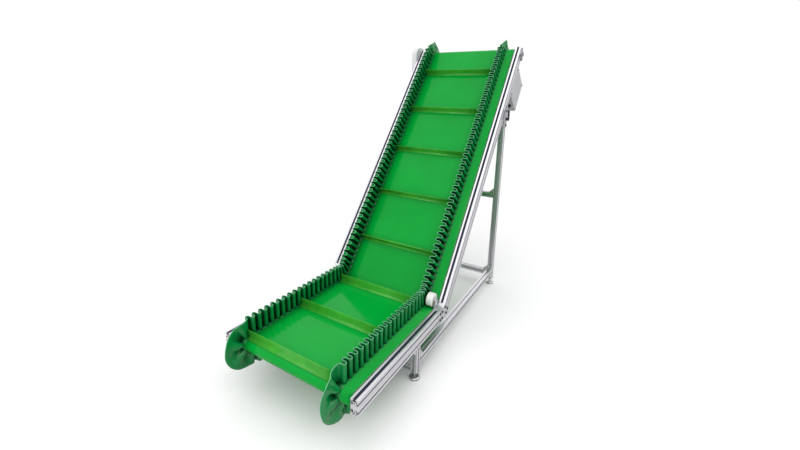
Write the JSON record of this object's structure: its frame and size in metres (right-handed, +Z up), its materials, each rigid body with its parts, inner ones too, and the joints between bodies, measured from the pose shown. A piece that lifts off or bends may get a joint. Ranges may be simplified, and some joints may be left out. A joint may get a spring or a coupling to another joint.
{
  "type": "inclined cleated belt conveyor section",
  "caption": "Free-standing belt conveyor section with level infeed, knee and steep incline, corrugated sidewalls, cleats, slotted aluminium rails and chain-driven head drum.",
  "frame": {"origin": "middle of the footprint's bounding box, on the floor", "axes": "+Y along the direction of travel from the infeed towards the head, +X across the belt to the right-hand rail seen from the infeed, +Z up"},
  "size_m": [0.92, 2.2869, 1.9134],
  "materials": {
    "anodised_profile": "clear anodised extruded",
    "cast_aluminium": "die cast, tumbled",
    "zinc_steel": "zinc plated",
    "bright_steel": "ground and oiled",
    "drum_steel": "turned",
    "black_oxide": "black oxide",
    "belt_green": "smooth pressed cover",
    "sidewall_green": "moulded",
    "cleat_green": "extruded",
    "white_nylon": "turned",
    "black_plastic": "moulded",
    "white_paint": "powder coat",
    "grey_paint": "powder coat",
    "motor_paint": "enamel",
    "bearing_casting": "nickel-plated casting",
    "slot_rubber": "extruded"
  },
  "bodies": {
    "frame": {"rail_lower_left": "anodised_profile", "rail_lower_right": "anodised_profile", "rail_upper_left": "anodised_profile", "rail_upper_right": "anodised_profile", "knee_block_left": "cast_aluminium", "knee_block_right": "cast_aluminium", "slot_covers": "slot_rubber", "bed_lower": "zinc_steel", "bed_upper": "zinc_steel", "cross_ties": "anodised_profile", "leg_front_left": "anodised_profile", "leg_front_right": "anodised_profile", "leg_rear_left": "anodised_profile", "leg_rear_right": "anodised_profile", "long_bars": "anodised_profile", "crossbars": "anodised_profile", "corner_brackets": "cast_aluminium", "pivot_brackets": "zinc_steel", "foot_plates": "zinc_steel", "belt_carcass": "belt_green", "sidewall_left": "sidewall_green", "sidewall_right": "sidewall_green", "cleats": "cleat_green", "tension_brackets": "zinc_steel", "head_bearing_left": "bearing_casting", "head_bearing_right": "bearing_casting", "hold_down_arms": "zinc_steel", "knee_axle": "bright_steel", "return_wheel_axles": "zinc_steel", "drive_plate": "white_paint", "gearbox": "motor_paint", "motor": "motor_paint", "terminal_box": "motor_paint", "fan_cover": "black_plastic", "drive_chain": "bright_steel", "chain_guard": "white_paint", "control_box": "grey_paint", "control_box_lid": "grey_paint", "cable_gland": "black_plastic", "socket_screws": "black_oxide"},
    "head_shaft_assembly": {"head_drum": "drum_steel", "head_shaft": "bright_steel", "driven_sprocket": "bright_steel"},
    "take_up": {"tail_shaft": "bright_steel", "tail_bearings": "bright_steel", "tension_screws": "bright_steel"},
    "tail_drum_body": {"tail_drum": "drum_steel"},
    "hold_down_left": {"hold_down_disc_left": "white_nylon"},
    "hold_down_right": {"hold_down_disc_right": "white_nylon"},
    "knee_roller_body": {"knee_roller": "drum_steel"},
    "return_left": {"return_wheel_left": "white_nylon"},
    "return_right": {"return_wheel_right": "white_nylon"},
    "motor_output": {"motor_shaft": "bright_steel", "drive_sprocket": "bright_steel"},
    "lever_left": {"clamp_lever_left": "black_plastic"},
    "lever_right": {"clamp_lever_right": "black_plastic"},
    "foot_fl": {"foot_front_left": "zinc_steel"},
    "foot_fr": {"foot_front_right": "zinc_steel"},
    "foot_rl": {"foot_rear_left": "zinc_steel"},
    "foot_rr": {"foot_rear_right": "zinc_steel"}
  },
  "joints": [
    {"name": "head_drum_spin", "type": "hinge", "parent": "frame", "child": "head_shaft_assembly", "pos_m": [0.01, 1.00718, 1.77727], "axis": [1, 0, 0], "continuous": true},
    {"name": "take_up_slide", "type": "slide", "parent": "frame", "child": "take_up", "axis": [0, 1, 0], "range_m": [0, 0.03]},
    {"name": "tail_drum_spin", "type": "hinge", "parent": "take_up", "child": "tail_drum_body", "pos_m": [0.01, -1.00718, 0.23], "axis": [1, 0, 0], "continuous": true},
    {"name": "hold_down_left_spin", "type": "hinge", "parent": "frame", "child": "hold_down_left", "pos_m": [-0.342, -0.24011, 0.3088], "axis": [1, 0, 0], "continuous": true},
    {"name": "hold_down_right_spin", "type": "hinge", "parent": "frame", "child": "hold_down_right", "pos_m": [0.362, -0.24011, 0.3088], "axis": [1, 0, 0], "continuous": true},
    {"name": "knee_roller_spin", "type": "hinge", "parent": "frame", "child": "knee_roller_body", "pos_m": [0.01, -0.1968, 0.22], "axis": [1, 0, 0], "continuous": true},
    {"name": "return_wheel_left_spin", "type": "hinge", "parent": "frame", "child": "return_left", "pos_m": [-0.342, 0.48021, 0.99103], "axis": [1, 0, 0], "continuous": true},
    {"name": "return_wheel_right_spin", "type": "hinge", "parent": "frame", "child": "return_right", "pos_m": [0.362, 0.48021, 0.99103], "axis": [1, 0, 0], "continuous": true},
    {"name": "motor_output_spin", "type": "hinge", "parent": "frame", "child": "motor_output", "pos_m": [-0.39, 1.00718, 1.43727], "axis": [1, 0, 0], "continuous": true},
    {"name": "clamp_lever_left_turn", "type": "hinge", "parent": "frame", "child": "lever_left", "pos_m": [-0.43, 0.74182, 1.30704], "axis": [1, 0, 0], "range_deg": [-90, 90]},
    {"name": "clamp_lever_right_turn", "type": "hinge", "parent": "frame", "child": "lever_right", "pos_m": [0.45, 0.74182, 1.30704], "axis": [1, 0, 0], "range_deg": [-90, 90]},
    {"name": "foot_fl_level", "type": "slide", "parent": "frame", "child": "foot_fl", "axis": [0, 0, 1], "range_m": [-0.01, 0.01]},
    {"name": "foot_fr_level", "type": "slide", "parent": "frame", "child": "foot_fr", "axis": [0, 0, 1], "range_m": [-0.01, 0.01]},
    {"name": "foot_rl_level", "type": "slide", "parent": "frame", "child": "foot_rl", "axis": [0, 0, 1], "range_m": [-0.01, 0.01]},
    {"name": "foot_rr_level", "type": "slide", "parent": "frame", "child": "foot_rr", "axis": [0, 0, 1], "range_m": [-0.01, 0.01]}
  ],
  "couplings": [
    {"joint": "tail_drum_spin", "follows": "head_drum_spin", "ratio": 1},
    {"joint": "hold_down_left_spin", "follows": "head_drum_spin", "ratio": -0.88067},
    {"joint": "hold_down_right_spin", "follows": "head_drum_spin", "ratio": -0.88067},
    {"joint": "knee_roller_spin", "follows": "head_drum_spin", "ratio": 1.3717},
    {"joint": "return_wheel_left_spin", "follows": "head_drum_spin", "ratio": -1.23},
    {"joint": "return_wheel_right_spin", "follows": "head_drum_spin", "ratio": -1.23},
    {"joint": "motor_output_spin", "follows": "head_drum_spin", "ratio": 1.2667}
  ]
}
